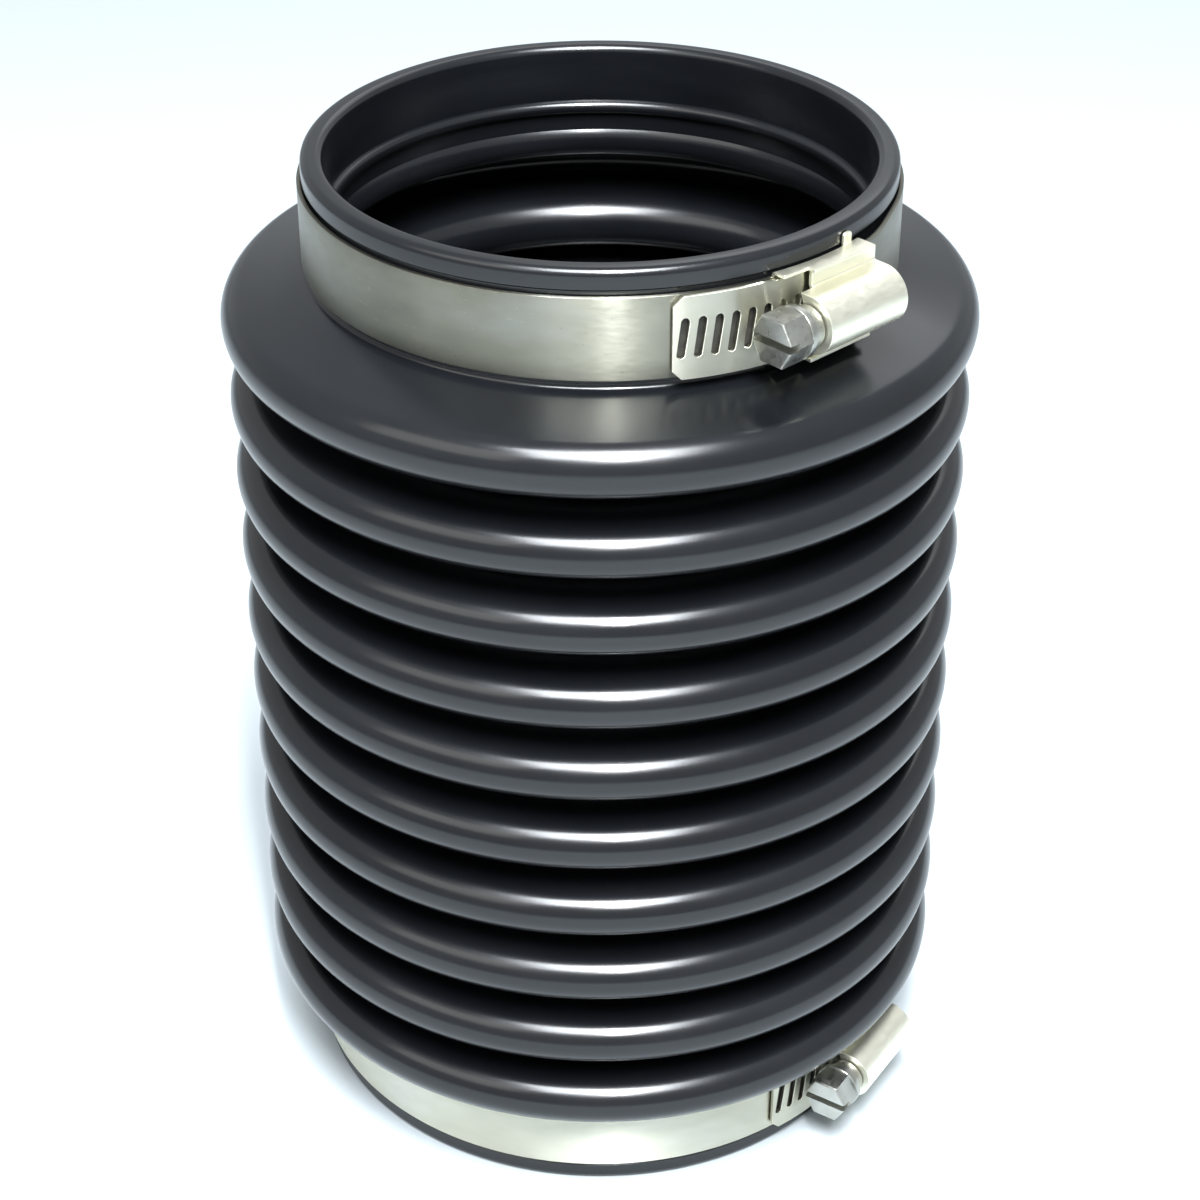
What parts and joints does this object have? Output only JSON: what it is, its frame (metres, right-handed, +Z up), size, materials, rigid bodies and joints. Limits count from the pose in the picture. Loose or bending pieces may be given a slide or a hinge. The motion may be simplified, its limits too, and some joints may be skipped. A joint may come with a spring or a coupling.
{
  "type": "pipe coupling",
  "caption": "Round rubber bellows coupling with a clamping collar and a worm-drive steel band clamp at each end.",
  "frame": {"origin": "on the coupling's axis, in the face of the lower rim", "axes": "+Z up the coupling's axis, from the wider collar to the narrower one; the front is -Y and the clamps' worms are at the front right"},
  "size_m": [0.117, 0.117, 0.1642],
  "materials": {
    "rubber": "moulded, semi-gloss",
    "steel": "bright rolled stainless"
  },
  "bodies": {
    "lower_end": {"lower_collar": "rubber", "fold_01": "rubber"},
    "bellows_02": {"convolution_02": "rubber", "fold_02": "rubber"},
    "bellows_03": {"convolution_03": "rubber", "fold_03": "rubber"},
    "bellows_04": {"convolution_04": "rubber", "fold_04": "rubber"},
    "bellows_05": {"convolution_05": "rubber", "fold_05": "rubber"},
    "bellows_06": {"convolution_06": "rubber", "fold_06": "rubber"},
    "bellows_07": {"convolution_07": "rubber", "fold_07": "rubber"},
    "bellows_08": {"convolution_08": "rubber", "fold_08": "rubber"},
    "bellows_09": {"convolution_09": "rubber", "fold_09": "rubber"},
    "upper_end": {"upper_collar": "rubber"},
    "lower_clamp": {"lower_band_loop": "steel", "lower_clamp_saddle": "steel", "lower_clamp_housing": "steel"},
    "lower_tail": {"lower_band_tail": "steel"},
    "lower_screw": {"lower_clamp_screw": "steel"},
    "upper_clamp": {"upper_band_loop": "steel", "upper_clamp_saddle": "steel", "upper_clamp_housing": "steel"},
    "upper_tail": {"upper_band_tail": "steel"},
    "upper_screw": {"upper_clamp_screw": "steel"}
  },
  "joints": [
    {"name": "bend_x_01", "type": "hinge", "parent": "lower_end", "child": "bellows_02", "pos_m": [0, 0, 0.02883], "axis": [1, 0, 0], "range_deg": [-4.2, 4.2], "stiffness_Nm_per_rad": 10, "deforming": ["fold_01"]},
    {"name": "bend_y_02", "type": "hinge", "parent": "bellows_02", "child": "bellows_03", "pos_m": [0, 0, 0.04169], "axis": [0, 1, 0], "range_deg": [-4.2, 4.2], "stiffness_Nm_per_rad": 10, "deforming": ["fold_02"]},
    {"name": "stroke_03", "type": "slide", "parent": "bellows_03", "child": "bellows_04", "axis": [0, 0, 1], "range_m": [-0.0032, 0.003], "stiffness_N_per_m": 6000, "deforming": ["fold_03"]},
    {"name": "bend_x_04", "type": "hinge", "parent": "bellows_04", "child": "bellows_05", "pos_m": [0, 0, 0.06741], "axis": [1, 0, 0], "range_deg": [-4.2, 4.2], "stiffness_Nm_per_rad": 10, "deforming": ["fold_04"]},
    {"name": "bend_y_05", "type": "hinge", "parent": "bellows_05", "child": "bellows_06", "pos_m": [0, 0, 0.08027], "axis": [0, 1, 0], "range_deg": [-4.2, 4.2], "stiffness_Nm_per_rad": 10, "deforming": ["fold_05"]},
    {"name": "stroke_06", "type": "slide", "parent": "bellows_06", "child": "bellows_07", "axis": [0, 0, 1], "range_m": [-0.0032, 0.003], "stiffness_N_per_m": 6000, "deforming": ["fold_06"]},
    {"name": "bend_x_07", "type": "hinge", "parent": "bellows_07", "child": "bellows_08", "pos_m": [0, 0, 0.10599], "axis": [1, 0, 0], "range_deg": [-4.2, 4.2], "stiffness_Nm_per_rad": 10, "deforming": ["fold_07"]},
    {"name": "bend_y_08", "type": "hinge", "parent": "bellows_08", "child": "bellows_09", "pos_m": [0, 0, 0.11885], "axis": [0, 1, 0], "range_deg": [-4.2, 4.2], "stiffness_Nm_per_rad": 10, "deforming": ["fold_08"]},
    {"name": "stroke_09", "type": "slide", "parent": "bellows_09", "child": "upper_end", "axis": [0, 0, 1], "range_m": [-0.0032, 0.003], "stiffness_N_per_m": 6000, "deforming": ["fold_09"]},
    {"name": "lower_clamp_turn", "type": "hinge", "parent": "lower_end", "child": "lower_clamp", "pos_m": [0, 0, 0.01025], "axis": [0, 0, 1], "continuous": true},
    {"name": "lower_screw_turn", "type": "hinge", "parent": "lower_clamp", "child": "lower_screw", "pos_m": [0.04581, -0.02952, 0.01025], "axis": [0.5417, 0.8406, 0], "range_deg": [-360, 360]},
    {"name": "lower_tail_travel", "type": "hinge", "parent": "lower_clamp", "child": "lower_tail", "pos_m": [0, 0, 0.01025], "axis": [0, 0, 1], "range_deg": [-2.81, 2.81]},
    {"name": "upper_clamp_turn", "type": "hinge", "parent": "upper_end", "child": "upper_clamp", "pos_m": [0, 0, 0.15399], "axis": [0, 0, 1], "continuous": true},
    {"name": "upper_screw_turn", "type": "hinge", "parent": "upper_clamp", "child": "upper_screw", "pos_m": [0.03427, -0.03599, 0.15399], "axis": [0.7242, 0.6896, 0], "range_deg": [-360, 360]},
    {"name": "upper_tail_travel", "type": "hinge", "parent": "upper_clamp", "child": "upper_tail", "pos_m": [0, 0, 0.15399], "axis": [0, 0, 1], "range_deg": [-3.1, 3.1]}
  ],
  "couplings": [
    {"joint": "bend_x_04", "follows": "bend_x_01", "ratio": 1},
    {"joint": "bend_y_05", "follows": "bend_y_02", "ratio": 1},
    {"joint": "stroke_06", "follows": "stroke_03", "ratio": 1},
    {"joint": "bend_x_07", "follows": "bend_x_01", "ratio": 1},
    {"joint": "bend_y_08", "follows": "bend_y_02", "ratio": 1},
    {"joint": "stroke_09", "follows": "stroke_03", "ratio": 1},
    {"joint": "lower_tail_travel", "follows": "lower_screw_turn", "ratio": -0.0077903},
    {"joint": "upper_tail_travel", "follows": "upper_screw_turn", "ratio": -0.0085983}
  ]
}
